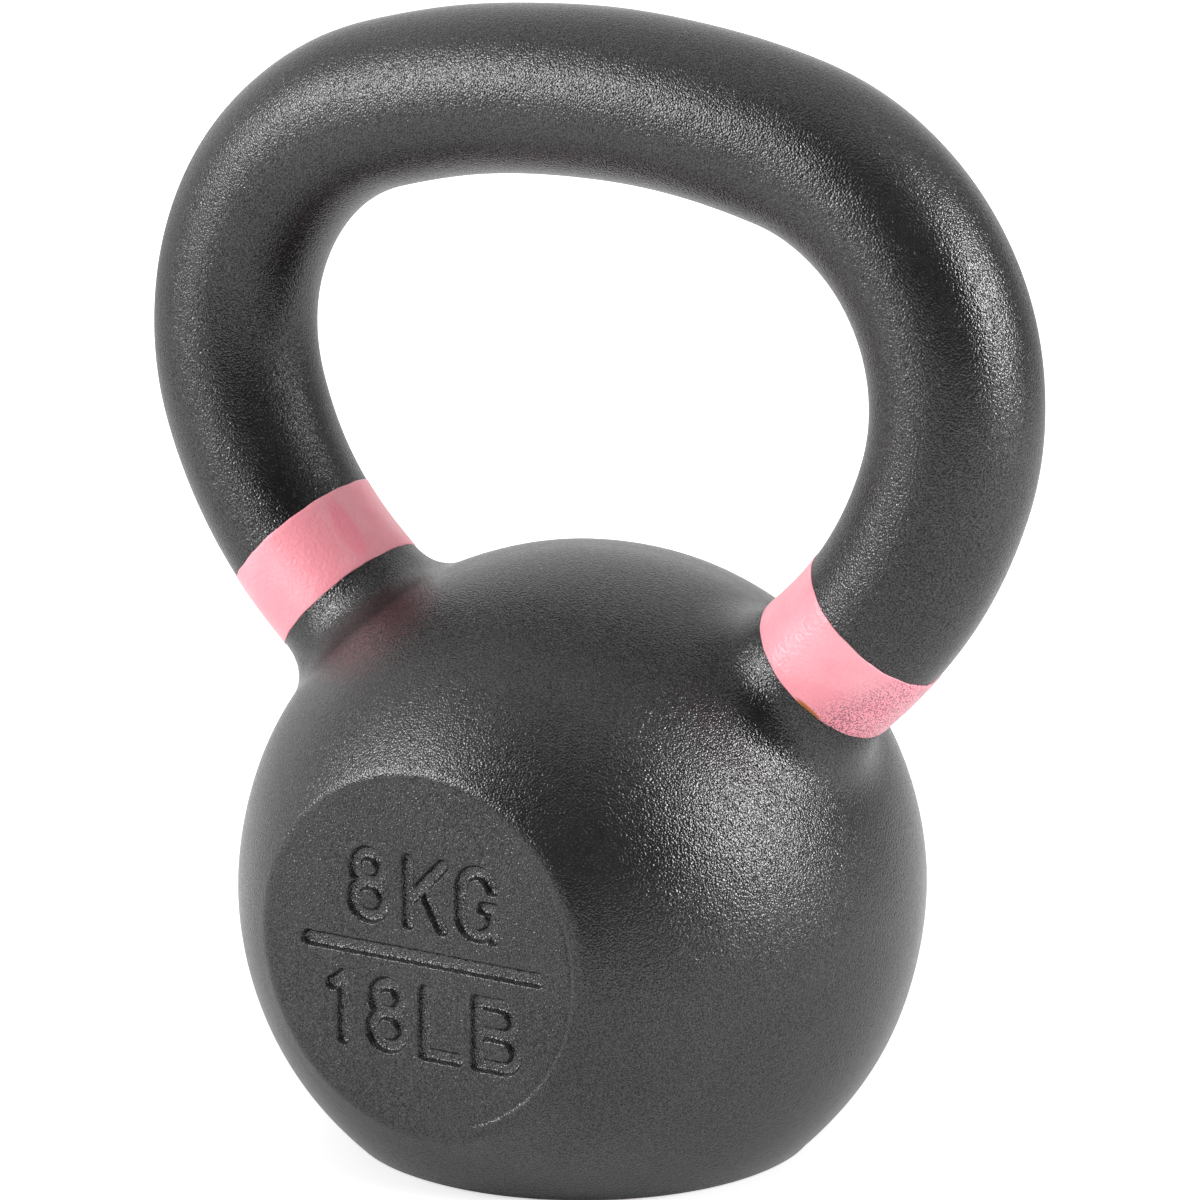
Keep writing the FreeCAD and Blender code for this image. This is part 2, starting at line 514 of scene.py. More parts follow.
def stroke_edge(points):
    """Distance across the disc, out from the nearest edge of a sunk stroke."""
    far_away = 50.0
    nearest = np.full(points.shape[:-1], far_away)
    for kind, place, width, shape in all_strokes:
        measure = line_distance if kind == "line" else bow_distance
        gap = measure(points - np.array(place, float), *shape) - width / 2
        nearest = blend(nearest, gap, stroke_flow)
    return nearest


def ragged_edge(points):
    """stroke_edge with the small wobble of a cast edge."""
    wobble = np.sin(points[..., 0] * 2.3 + 1.7 * np.sin(points[..., 1] * 1.9))
    wobble += np.sin(points[..., 1] * 2.9 + 1.3 * np.sin(points[..., 0] * 1.6 + 2))
    return stroke_edge(points) + edge_wobble * wobble


def bowed(points):
    """1 where the floors of the strokes are bowed, down to 0 where they are flat."""
    across = points[..., 0]
    up = points[..., 1]
    on_bar = np.abs(up - bar_height) < bar_width
    along_bar = faded(across, bow_rightmost, bow_rightmost - bow_fade_right)
    along_bar = along_bar * faded(across, bar_left, bar_left + bow_fade_left)
    share = faded(up, bow_lowest, bow_lowest + bow_fade_below)
    return share * np.where(on_bar, along_bar, 1.0)


def witness(points):
    """Depth of the faint turned line, with the low ridge outside it."""
    out = np.linalg.norm(points, axis=-1)
    turn = np.degrees(np.arctan2(points[..., 1], points[..., 0]))
    off_middle = np.abs(turn - witness_middle)
    share = faded(off_middle, witness_reach, witness_reach - witness_fade)
    groove = np.clip(1 - ((out - witness_radius) / witness_width) ** 2, 0, 1)
    ridge = np.clip(1 - ((out - witness_radius - ridge_offset) / witness_width) ** 2, 0, 1)
    return witness_depth * share * (groove ** 2 - ridge_share * ridge ** 2)


def sunk(points):
    """How far the disc is sunk at points (x, z) by the mark and the witness line."""
    inwards = -ragged_edge(points)
    wall = inwards / math.tan(math.radians(wall_lean))
    to_wall = np.clip(1 - inwards / (stroke_width / 2), 0, 1.3)
    floor = mark_depth - floor_bowl * bowed(points) * to_wall ** 2
    down = blend(wall, floor, foot_softness)
    return -blend(-down, 0.0, edge_softness) + witness(points)


def disc_profile(out):
    """How far the flattened ball reaches along Y, at a distance from the Y axis."""
    turned = np.clip(disc_rounding ** 2 - (out - flat_reach) ** 2, 0, None)
    turned = np.sqrt(turned) + disc_side
    ball = np.sqrt(np.clip(ball_radius ** 2 - out ** 2, 0, None))
    on_ball = out > flat_reach * ball_radius / disc_core
    return np.where(out < flat_reach, disc_offset, np.where(on_ball, ball, turned))


def contour(field, level, reach, step):
    """Closed loops of points where a field crosses a level, in a square of that reach."""
    axis = np.arange(-reach, reach + step, step)
    value = field(np.stack(np.meshgrid(axis, axis, indexing="ij"), -1)) - level
    below = value < 0
    split = below[1:, 1:] != below[:-1, :-1]
    split |= below[1:, :-1] != below[:-1, 1:]
    split |= below[1:, 1:] != below[1:, :-1]
    nearby = {}
    for i, j in np.argwhere(split):
        sides = (
            ((i, j), (i + 1, j)),
            ((i + 1, j), (i + 1, j + 1)),
            ((i, j + 1), (i + 1, j + 1)),
            ((i, j), (i, j + 1)),
        )
        crossed = [side for side in sides if below[side[0]] != below[side[1]]]
        for one, two in zip(crossed[::2], crossed[1::2]):
            nearby.setdefault(one, []).append(two)
            nearby.setdefault(two, []).append(one)
    loops = []
    while nearby:
        side = next(iter(nearby))
        chain = []
        while side in nearby:
            chain.append(side)
            onward = [other for other in nearby.pop(side) if other in nearby]
            side = onward[0] if onward else None
        ends = np.array(chain)
        first = value[tuple(ends[:, 0].T)]
        second = value[tuple(ends[:, 1].T)]
        share = (first / (first - second))[:, None]
        loops.append(axis[0] + (ends[:, 0] * (1 - share) + ends[:, 1] * share) * step)
    return loops


def spaced(loop, spacing):
    """A closed loop's points again, evenly spaced."""
    closed = np.concatenate([loop, loop[:1]])
    reach = np.concatenate([[0], np.cumsum(np.linalg.norm(np.diff(closed, axis=0), axis=1))])
    count = max(6, round(reach[-1] / spacing))
    places = np.linspace(0, reach[-1], count, endpoint=False)
    return np.stack([np.interp(places, reach, closed[:, i]) for i in range(2)], -1)


def ring(radius, spacing):
    """Evenly spaced points on a circle."""
    turn = np.linspace(0, 2 * math.pi, round(2 * math.pi * radius / spacing), endpoint=False)
    return np.stack([np.cos(turn), np.sin(turn)], -1) * radius


def mark_loops():
    """Loops that the front disc's facets follow, along every stroke's walls."""
    run = mark_depth * math.tan(math.radians(wall_lean))
    onto_disc = (-0.25, -0.08)            # shares of the run, on the disc beside a wall
    down_wall = (0.1, 0.35, 0.6, 0.8, 1.0)
    onto_floor = (1.25, 1.65)
    loops = []
    for share in onto_disc + down_wall + onto_floor:
        level = -share * run
        for loop in contour(ragged_edge, level, witness_radius, contour_step):
            loop = settle(ragged_edge, spaced(loop, mark_spacing), level, rounds=2)
            loops.append(spaced(loop, mark_spacing))
    return loops


def edge_loops(front):
    """Rings that a disc's facets follow, where it turns into the ball and at the witness line."""
    turns = math.atan2(flat_reach, disc_side) * np.linspace(0, 1, ring_count)
    radii = [flat_reach + disc_rounding * math.sin(angle) for angle in turns]
    radii.append(radii[-1] + ring_beyond)
    if front:
        radii += [witness_radius + share * witness_width for share in np.linspace(-1, 1.4, 7)]
    return [ring(radius, ring_spacing) for radius in radii]


def disc_fill(spacing):
    """Points spread evenly over a disc, in staggered rows."""
    count = math.ceil(patch_radius / spacing)
    points = []
    for row in range(-count, count + 1):
        stagger = 0.5 * (row % 2)
        for place in range(-count, count + 1):
            points.append(((place + stagger) * spacing, row * spacing * row_spacing))
    points = np.array(points)
    inner = np.linalg.norm(points, axis=1) < witness_radius - witness_width - spacing / 2
    return points[inner]


def clear_of_mark(points, spacing):
    """The points that lie beside the mark's strokes, not on their walls or floors."""
    return points[ragged_edge(points) > mark_clearance + spacing / 2]


def enclosed(points, corners, pairs):
    """True for each point inside the closed outline that the pairs of corners make."""
    start = corners[pairs[:, 0]]
    end = corners[pairs[:, 1]]
    across = (start[:, 1] > points[:, 1:]) != (end[:, 1] > points[:, 1:])
    rise = np.where(start[:, 1] == end[:, 1], 1.0, end[:, 1] - start[:, 1])
    share = (points[:, 1:] - start[:, 1]) / rise
    to_right = start[:, 0] + share * (end[:, 0] - start[:, 0]) > points[:, :1]
    return (across & to_right).sum(axis=1) % 2 == 1


def disc_patch(edge_points, edge_pairs, side):
    """Triangles over one disc that meet the skin's edge. The front one follows the mark."""
    front = side < 0
    loops = edge_loops(front) + (mark_loops() if front else [])
    points = [edge_points[:, [0, 2]]]
    pairs = [edge_pairs]
    count = len(edge_points)
    for loop in loops:
        here = np.arange(count, count + len(loop))
        points.append(loop)
        pairs.append(np.stack([here, np.roll(here, -1)], -1))
        count += len(loop)
    if front:
        points.append(clear_of_mark(disc_fill(front_spacing), front_spacing))
    else:
        points.append(disc_fill(back_spacing))
    points = [Vector(point) for point in np.concatenate(points)]
    pairs = [tuple(map(int, pair)) for pair in np.concatenate(pairs)]
    within_edge = 1
    merge_distance = 1e-5
    flat, _, faces, origin, _, _ = delaunay_2d_cdt(
        points, pairs, [], within_edge, merge_distance, True)
    flat = np.array([tuple(point) for point in flat])
    faces = np.array(faces)
    faces = faces[enclosed(flat[faces].mean(axis=1), edge_points[:, [0, 2]], edge_pairs)]
    reach = disc_profile(np.linalg.norm(flat, axis=1)) * side
    lifted = np.stack([flat[:, 0], reach, flat[:, 1]], -1)
    lifted[:, 1] -= side * wander(lifted)
    if front:
        lifted[:, 1] += sunk(flat)
    for number, sources in enumerate(origin):
        for source in sources:
            if source < len(edge_points):
                lifted[number] = edge_points[source]
    return lifted, faces


# ---------------------------------------------------------------- meshes

def add_piece(name, points, faces):
    """A piece from points in millimetres round the ball's centre."""
    mesh = bpy.data.meshes.new(name)
    lifted = (np.asarray(points) + [0, 0, ball_height]) * MM
    mesh.from_pydata(lifted.tolist(), [], [list(map(int, face)) for face in faces])
    mesh.shade_smooth()
    piece = bpy.data.objects.new(name, mesh)
    bpy.context.collection.objects.link(piece)
    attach(piece, "root")
    return piece


def open_edge(faces):
    """Pairs of points along the edge of a hole in a skin."""
    edges = np.concatenate([faces[:, [i, (i + 1) % 4]] for i in range(4)])
    key = np.sort(edges, axis=1)
    _, first, count = np.unique(key, axis=0, return_index=True, return_counts=True)
    return edges[first[count == 1]]


def coat_mesh():
    """The coat's outer face: ball, discs, handle and sunk mark."""
    reach = np.array([coat_high[0], disc_offset, coat_high[2] - ball_height])
    bottom = np.array([-coat_high[0], -disc_offset, -ball_radius])
    points, faces = skin(true_form, bottom, reach, skin_step)
    points = settle(cast_form, points)
    points = relax(points, faces, cast_form, rounds=4)
    on_disc = np.hypot(points[:, 0], points[:, 2]) < patch_radius
    faces = faces[~on_disc[faces].all(axis=1)]
    pairs = open_edge(faces)
    while (np.bincount(pairs.ravel()) > 2).any():
        pinched = np.bincount(pairs.ravel(), minlength=len(points)) > 2
        faces = faces[~pinched[faces].any(axis=1)]
        pairs = open_edge(faces)
    clouds = [points]
    joined = [list(face) for face in faces]
    count = len(points)
    for side in (-1, 1):
        here = pairs[points[pairs[:, 0], 1] * side > 0]
        on_edge, here = np.unique(here, return_inverse=True)
        patch, triangles = disc_patch(points[on_edge], here.reshape(-1, 2), side)
        joined += [[corner + count for corner in face] for face in triangles]
        clouds.append(patch)
        count += len(patch)
    return np.concatenate(clouds), joined


def cut_base(mesh):
    """Cuts the skin level at its foot, rounds it onto the base and closes it inside the iron."""
    merge_distance = 0.002 * MM
    core = ball_radius - base_rounding
    drop = ball_height - base_rounding
    turn = math.sqrt(core ** 2 - drop ** 2)
    tangent = base_rounding * (1 - drop / core)
    bm = bmesh.new()
    bm.from_mesh(mesh)
    bmesh.ops.remove_doubles(bm, verts=bm.verts, dist=merge_distance)
    loose = [vert for vert in bm.verts if not vert.link_faces]
    bmesh.ops.delete(bm, geom=loose, context="VERTS")
    everything = bm.verts[:] + bm.edges[:] + bm.faces[:]
    cut = bmesh.ops.bisect_plane(
        bm, geom=everything, plane_co=(0, 0, tangent * MM), plane_no=(0, 0, 1),
        clear_inner=True)
    rim = [item for item in cut["geom_cut"] if isinstance(item, bmesh.types.BMEdge)]
    start = math.acos(drop / core)
    rings = []
    for share in (0.25, 0.5, 0.75, 1.0):
        angle = start * (1 - share)
        out = turn + base_rounding * math.sin(angle)
        rings.append((out, base_rounding * (1 - math.cos(angle))))
    iron_edge = math.sqrt((ball_radius - coat_thickness) ** 2 - ball_height ** 2)
    rings += [(iron_edge, 0.0), (iron_edge - tuck_in, tuck_up)]
    for out, up in rings:
        made = bmesh.ops.extrude_edge_only(bm, edges=rim)["geom"]
        rim = [item for item in made if isinstance(item, bmesh.types.BMEdge)]
        for vert in {vert for edge in rim for vert in edge.verts}:
            level = math.hypot(vert.co.x, vert.co.y)
            vert.co.x *= out * MM / level
            vert.co.y *= out * MM / level
            vert.co.z = up * MM
    bmesh.ops.contextual_create(bm, geom=rim)
    bmesh.ops.recalc_face_normals(bm, faces=bm.faces)
    bm.to_mesh(mesh)
    bm.free()
    mesh.shade_smooth()


def add_coat():
    """The powder coat, with its base cut and its edge turned under onto the iron."""
    points, faces = coat_mesh()
    coat = add_piece("textured_coat", points, faces)
    cut_base(coat.data)
    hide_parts("powder_coat")
    return coat


def band_mesh(side, reach):
    """Thin ring of enamel round one horn, with tapered, slightly wandering edges."""
    upper_out, upper_in, lower_out, lower_in, front_dip = reach
    angle = np.linspace(0, 2 * math.pi, band_facets, endpoint=False)
    waver = np.zeros(band_facets)
    for number, (waves, sway) in enumerate(edge_waves, start=1):
        waver += sway * np.sin(waves * angle + number * side)
    upper = (upper_out + upper_in) / 2 + (upper_out - upper_in) / 2 * np.cos(angle) + waver
    upper -= front_dip * np.sin(angle)
    lower = (lower_out + lower_in) / 2 + (lower_out - lower_in) / 2 * np.cos(angle)
    lower += lower_sway * np.roll(waver, band_facets // 3)
    rows = list(band_lip)
    rows += [(share, band_thickness) for share in np.linspace(0.02, 0.98, outer_rows)]
    rows += [(1 - share, proud) for share, proud in reversed(band_lip)]
    rows += [(share, -band_sink) for share in np.linspace(0.95, 0.05, inner_rows)]
    rings = []
    for share, proud in rows:
        along = upper + (lower - upper) * share
        point, slope = handle_point(along)
        out = outwards(slope)
        radius = handle_girth(along)
        spot = np.zeros((band_facets, 3))
        spot[:, 0] = point[:, 0] + out[:, 0] * radius * np.cos(angle)
        spot[:, 1] = radius * np.sin(angle)
        spot[:, 2] = point[:, 1] + out[:, 1] * radius * np.cos(angle)
        spot[:, 0] *= side
        spot = settle(cast_form, spot, rounds=3)
        normal = slopes(cast_form, spot)
        normal /= np.linalg.norm(normal, axis=1)[:, None]
        rings.append(spot + normal * proud)
    points = np.concatenate(rings)
    faces = []
    for row in range(len(rows)):
        here = row * band_facets
        onto = (row + 1) % len(rows) * band_facets
        for place in range(band_facets):
            beside = (place + 1) % band_facets
            face = [here + place, here + beside, onto + beside, onto + place]
            faces.append(face if side > 0 else face[::-1])
    return points, faces


def add_band(name, side):
    """The enamel band on the left horn (side -1) or the right one (side 1)."""
    points, faces = band_mesh(side, band_reach[name])
    band = add_piece("enamel_" + name, points, faces)
    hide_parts(name)
    return band


# ---------------------------------------------------------------- node helpers

def grey(tone):
    """Colour of one tone in all its channels."""
    return (tone, tone, tone, 1)


def node(tree, kind, **values):
    """New node with its settings."""
    made = tree.nodes.new(kind)
    for name, value in values.items():
        setattr(made, name, value)
    return made


def feed(tree, target, source):
    """Sets a socket to a value, or links it to another socket."""
    if isinstance(source, bpy.types.NodeSocket):
        tree.links.new(source, target)
    else:
        target.default_value = source


def maths(tree, operation, *sources):
    """A Math node's result, from numbers or sockets."""
    made = node(tree, "ShaderNodeMath", operation=operation)
    for socket, source in zip(made.inputs, sources):
        feed(tree, socket, source)
    return made.outputs[0]


def scaled(tree, value, factor):
    """A number, or what a socket carries, times a factor."""
    if isinstance(value, bpy.types.NodeSocket):
        return maths(tree, "MULTIPLY", value, factor)
    return value * factor


def mixed(tree, share, first, second):
    """Mix of two colours. A Mix node's sockets for colours have these numbers."""
    colour_a, colour_b, result = 6, 7, 2
    made = node(tree, "ShaderNodeMix", data_type="RGBA")
    feed(tree, made.inputs["Factor"], share)
    feed(tree, made.inputs[colour_a], first)
    feed(tree, made.inputs[colour_b], second)
    return made.outputs[result]


def stepped(tree, value, low, high, first=0.0, last=1.0):
    """Smooth change from first to last as a value goes from low to high."""
    made = node(tree, "ShaderNodeMapRange", interpolation_type="SMOOTHSTEP")
    for socket, source in zip(made.inputs, (value, low, high, first, last)):
        feed(tree, socket, source)
    return made.outputs[0]


def noise(tree, place, scale, detail, roughness=0.5, distortion=0.0):
    """Cloudy noise between 0 and 1."""
    made = node(tree, "ShaderNodeTexNoise")
    feed(tree, made.inputs["Vector"], place)
    feed(tree, made.inputs["Scale"], scale)
    feed(tree, made.inputs["Detail"], detail)
    feed(tree, made.inputs["Roughness"], roughness)
    feed(tree, made.inputs["Distortion"], distortion)
    return made.outputs["Fac"]


def cells(tree, place, scale):
    """Scattered cells: the distance from their middles, and a random colour for each."""
    made = node(tree, "ShaderNodeTexVoronoi")
    feed(tree, made.inputs["Vector"], place)
    feed(tree, made.inputs["Scale"], scale)
    return made.outputs


def new_group(name, takes, gives):
    """Empty node group with named inputs (name, kind, default) and outputs (name, kind)."""
    group = bpy.data.node_groups.new(name, "ShaderNodeTree")
    for label, kind, default in takes:
        socket = group.interface.new_socket(label, in_out="INPUT", socket_type=kind)
        if default is not None:
            socket.default_value = default
    for label, kind in gives:
        group.interface.new_socket(label, in_out="OUTPUT", socket_type=kind)
    return group, node(group, "NodeGroupInput"), node(group, "NodeGroupOutput")


def placed(tree, group, **values):
    """A group in a material. Its input names have spaces where the keywords have underscores."""
    made = node(tree, "ShaderNodeGroup", node_tree=group)
    for name, value in values.items():
        feed(tree, made.inputs[name.replace("_", " ")], value)
    return made.outputs


# ---------------------------------------------------------------- shared effects

def pebble_height(tree, place, scale, wrinkle):
    """Height of close-set domes with creases between them and fine wrinkles over them."""
    domes = cells(tree, place, scale)["Distance"]
    rolling = noise(tree, place, scaled(tree, scale, 0.8), 0.0)
    fine = noise(tree, place, scaled(tree, scale, 2.0), 1.0)
    height = maths(tree, "SUBTRACT", rolling, maths(tree, "MULTIPLY", domes, domes))
    return maths(tree, "MULTIPLY_ADD", fine, wrinkle, height)


def pebble_group():
    """Pebbled grain: domes, creases and wrinkles, with a few taller nibs."""
    nib_share = 0.25
    nib_reach = 0.32
    tree, take, give = new_group(
        "pebble_grain",
        [("Place", "NodeSocketVector", None), ("Grain Size", "NodeSocketFloat", 0.4),
         ("Wrinkle", "NodeSocketFloat", 0.4), ("Nibs", "NodeSocketFloat", 0.0)],
        [("Height", "NodeSocketFloat")])
    place = take.outputs["Place"]
    scale = maths(tree, "DIVIDE", 1 / MM, take.outputs["Grain Size"])
    height = pebble_height(tree, place, scale, take.outputs["Wrinkle"])
    apart = cells(tree, place, scaled(tree, scale, 0.6))
    lot = node(tree, "ShaderNodeSeparateColor")
    feed(tree, lot.inputs["Color"], apart["Color"])
    chosen = maths(tree, "GREATER_THAN", lot.outputs["Red"], 1 - nib_share)
    nib = stepped(tree, apart["Distance"], 0.0, nib_reach, 1.0, 0.0)
    nib = maths(tree, "MULTIPLY", nib, chosen)
    height = maths(tree, "MULTIPLY_ADD", nib, take.outputs["Nibs"], height)
    feed(tree, give.inputs["Height"], height)
    return tree


def drift_group():
    """Slow change of tone over a surface, with a little mottling."""
    tree, take, give = new_group(
        "tone_drift",
        [("Place", "NodeSocketVector", None), ("Dark", "NodeSocketColor", None),
         ("Light", "NodeSocketColor", None), ("Patch Size", "NodeSocketFloat", 20.0),
         ("Mottle", "NodeSocketFloat", 0.3)],
        [("Color", "NodeSocketColor"), ("Share", "NodeSocketFloat")])
    scale = maths(tree, "DIVIDE", 1 / MM, take.outputs["Patch Size"])
    slow = noise(tree, take.outputs["Place"], scale, 2.0)
    mottle = noise(tree, take.outputs["Place"], scaled(tree, scale, 14.0), 3.0)
    mottle = maths(tree, "SUBTRACT", mottle, 0.5)
    share = maths(tree, "MULTIPLY_ADD", mottle, take.outputs["Mottle"], slow)
    share = stepped(tree, share, 0.3, 0.7)
    feed(tree, give.inputs["Share"], share)
    feed(tree, give.inputs["Color"],
         mixed(tree, share, take.outputs["Dark"], take.outputs["Light"]))
    return tree


def fleck_group():
    """Scattered flecks: 1 where something pokes through or has rubbed off."""
    scarcest = 0.88                       # noise level that nothing passes
    amount_reach = 0.55                   # how far the amount brings it down
    softness = 0.06
    tree, take, give = new_group(
        "scattered_flecks",
        [("Place", "NodeSocketVector", None), ("Fleck Size", "NodeSocketFloat", 0.5),
         ("Amount", "NodeSocketFloat", 0.2)],
        [("Mask", "NodeSocketFloat")])
    scale = maths(tree, "DIVIDE", 1 / MM, take.outputs["Fleck Size"])
    spots = noise(tree, take.outputs["Place"], scale, 2.0, roughness=0.6, distortion=0.6)
    limit = maths(tree, "MULTIPLY_ADD", take.outputs["Amount"], -amount_reach, scarcest)
    feed(tree, give.inputs["Mask"],
         stepped(tree, spots, limit, maths(tree, "ADD", limit, softness)))
    return tree


def oval_group():
    """Soft-edged oval in one place on a surface: a streak, a smear or a worn spot."""
    tree, take, give = new_group(
        "soft_oval",
        [("Place", "NodeSocketVector", None), ("Middle", "NodeSocketVector", None),
         ("Turn", "NodeSocketVector", None), ("Size", "NodeSocketVector", None)],
        [("Mask", "NodeSocketFloat")])
    local = node(tree, "ShaderNodeMapping", vector_type="TEXTURE")
    for socket, name in zip(local.inputs, ("Place", "Middle", "Turn", "Size")):
        feed(tree, socket, take.outputs[name])
    away = node(tree, "ShaderNodeVectorMath", operation="LENGTH")
    feed(tree, away.inputs[0], local.outputs[0])
    feed(tree, give.inputs["Mask"], stepped(tree, away.outputs["Value"], 0.5, 1.0, 1.0, 0.0))
    return tree


pebbles = pebble_group()
drift = drift_group()
flecks = fleck_group()
ovals = oval_group()


# ---------------------------------------------------------------- finishes

def new_finish(name):
    """New material, with its nodes, its shader and the place on the piece as a socket."""
    material = bpy.data.materials.new(name)
    material.use_nodes = True
    tree = material.node_tree
    shader = tree.nodes["Principled BSDF"]
    place = node(tree, "ShaderNodeTexCoord").outputs["Object"]
    return material, tree, shader, place


def bumped(tree, height, depth, strength=1.0):
    """Normal of a surface whose height from 0 to 1 stands for a depth in millimetres."""
    made = node(tree, "ShaderNodeBump")
    feed(tree, made.inputs["Strength"], strength)
    feed(tree, made.inputs["Distance"], depth * MM)
    feed(tree, made.inputs["Height"], height)
    return made.outputs["Normal"]


def streak(tree, place, start, end, width):
    """Mask of a streak between two points, in millimetres from the middle of the base."""
    start, end = Vector(start) * MM, Vector(end) * MM
    run = end - start
    turn = (0.0, -math.asin(run.z / run.length), math.atan2(run.y, run.x))
    size = (run.length / 2, width * MM / 2, width * MM / 2)
    return placed(tree, ovals, Place=place, Middle=(start + end) / 2, Turn=turn, Size=size)["Mask"]


def beyond(tree, place, start, towards, begins, full):
    """How much a place lies past a point in a direction: 0 up to one distance, 1 from another."""
    towards = Vector(towards).normalized()
    made = node(tree, "ShaderNodeVectorMath", operation="DOT_PRODUCT")
    feed(tree, made.inputs[0], place)
    made.inputs[1].default_value = towards
    level = towards.dot(Vector(start))
    return stepped(tree, made.outputs["Value"], (level + begins) * MM, (level + full) * MM)


def round_disc_axis(tree, place):
    """How far a place lies out from the line through both discs' middles, and how far along."""
    parts = node(tree, "ShaderNodeSeparateXYZ")
    feed(tree, parts.inputs[0], place)
    up = maths(tree, "SUBTRACT", parts.outputs["Z"], ball_height * MM)
    square = maths(tree, "MULTIPLY", parts.outputs["X"], parts.outputs["X"])
    square = maths(tree, "MULTIPLY_ADD", up, up, square)
    return maths(tree, "SQRT", square), parts.outputs["Y"]


def inside_mark(tree, place):
    """1 on the floors of the sunk strokes."""
    out, along = round_disc_axis(tree, place)
    starts = (shelter_starts - disc_offset) * MM
    full = (shelter_full - disc_offset) * MM
    deep = stepped(tree, along, starts, full)
    on_disc = maths(tree, "LESS_THAN", out, witness_radius * MM)
    at_front = maths(tree, "LESS_THAN", along, 0.0)
    return maths(tree, "MULTIPLY", deep, maths(tree, "MULTIPLY", on_disc, at_front))


def over_disc_edge(tree, place):
    """1 along the rounded edges of both discs, where the coat flowed out smoother."""
    out, _ = round_disc_axis(tree, place)
    starts, full, wanes, gone = ((flat_reach + past) * MM for past in smooth_edge)
    inner = stepped(tree, out, starts, full)
    outer = stepped(tree, out, wanes, gone, 1.0, 0.0)
    return maths(tree, "MULTIPLY", inner, outer)


def coat_finish():
    """Black powder coat, half matt, pebbled, whose fine grain shines unevenly."""
    black = (0.011, 0.0105, 0.0108, 1)
    charcoal = (0.018, 0.0175, 0.0175, 1)
    rubbed_grey = (0.03, 0.029, 0.028, 1)
    fine_grain = 0.22
    fine_grain_top = 1.15
    dullest = 0.17
    brightest = 0.87
    brighter_in_mark = 1.3
    grain_depth = 0.13
    relief = 0.55
    relief_in_mark = 0.75
    relief_lost_at_edge = 0.3
    material, tree, shader, place = new_finish("black_powder_coat")
    tone = placed(tree, drift, Place=place, Dark=black, Light=charcoal,
                  Patch_Size=26.0, Mottle=0.5)
    rubbed = placed(tree, flecks, Place=place, Fleck_Size=2.2, Amount=0.16)
    feed(tree, shader.inputs["Base Color"],
         mixed(tree, rubbed["Mask"], tone["Color"], rubbed_grey))
    feed(tree, shader.inputs["Roughness"], stepped(tree, tone["Share"], 0.0, 1.0, 0.13, 0.17))
    shader.inputs["IOR"].default_value = 1.6
    sheltered = inside_mark(tree, place)
    fine = pebble_height(tree, place, 1 / (fine_grain * MM), wrinkle=0.5)
    shine = stepped(tree, fine, 0.0, fine_grain_top, dullest, brightest)
    more = stepped(tree, sheltered, 0.0, 1.0, 1.0, brighter_in_mark)
    feed(tree, shader.inputs["Specular IOR Level"], maths(tree, "MULTIPLY", shine, more))
    grain = placed(tree, pebbles, Place=place, Grain_Size=0.35, Wrinkle=0.4, Nibs=0.5)
    strength = stepped(tree, sheltered, 0.0, 1.0, relief, relief_in_mark)
    smooth = over_disc_edge(tree, place)
    strength = maths(tree, "MULTIPLY_ADD", smooth, -relief_lost_at_edge, strength)
    feed(tree, shader.inputs["Normal"], bumped(tree, grain["Height"], grain_depth, strength))
    return material


def new_enamel(name, nibs):
    """Pink half-gloss enamel, brushed over the grain of the coat, and its plain colour."""
    pink = (0.92, 0.32, 0.38, 1)
    pale_pink = (0.95, 0.39, 0.45, 1)
    material, tree, shader, place = new_finish(name)
    shader.inputs["Roughness"].default_value = 0.3
    grain = placed(tree, pebbles, Place=place, Grain_Size=0.62, Wrinkle=0.1, Nibs=nibs)
    feed(tree, shader.inputs["Normal"], bumped(tree, grain["Height"], depth=0.05))
    tone = placed(tree, drift, Place=place, Dark=pink, Light=pale_pink,
                  Patch_Size=9.0, Mottle=0.3)
    return material, tree, shader, place, tone["Color"]


def left_enamel():
    """The left band's enamel, with a darker, deeper pink streak across it: painted shade where the
    lighting leaves a darker band.
    """
    # Colour of the painted shade streak: a darker, deeper pink standing in for the darker band of
    # light, not thicker paint
    painted_shade_pink = (0.97, 0.24, 0.32, 1)
    material, tree, shader, place, colour = new_enamel("left_enamel", nibs=0.6)
    strength = 0.55
    # Painted shade: this streak darkens the pink where the light between the two lamps falls off
    painted_shade_streak = streak(tree, place, start=(-51, -6, 112), end=(-40, -8, 100), width=5.0)
    colour = mixed(tree, scaled(tree, painted_shade_streak, strength), colour, painted_shade_pink)
    feed(tree, shader.inputs["Base Color"], colour)
    return material


def right_enamel():
    """The right band's enamel, worn in specks towards its foot, with an orange smear there."""
    coat_showing = (0.17, 0.06, 0.11, 1)
    orange = (0.42, 0.13, 0.02, 1)
    material, tree, shader, place, colour = new_enamel("right_enamel", nibs=0.0)
    specks = placed(tree, flecks, Place=place, Fleck_Size=0.27, Amount=0.68)
    worn = beyond(tree, place, start=(53, -14, 90), towards=(0.35, 0.25, -0.9),
                  begins=-0.5, full=7.0)
    colour = mixed(tree, maths(tree, "MULTIPLY", specks["Mask"], worn), colour, coat_showing)
    smear = streak(tree, place, start=(51.6, -15.0, 90.4), end=(56.0, -12.2, 85.3), width=1.7)
    feed(tree, shader.inputs["Base Color"], mixed(tree, smear, colour, orange))
    return material


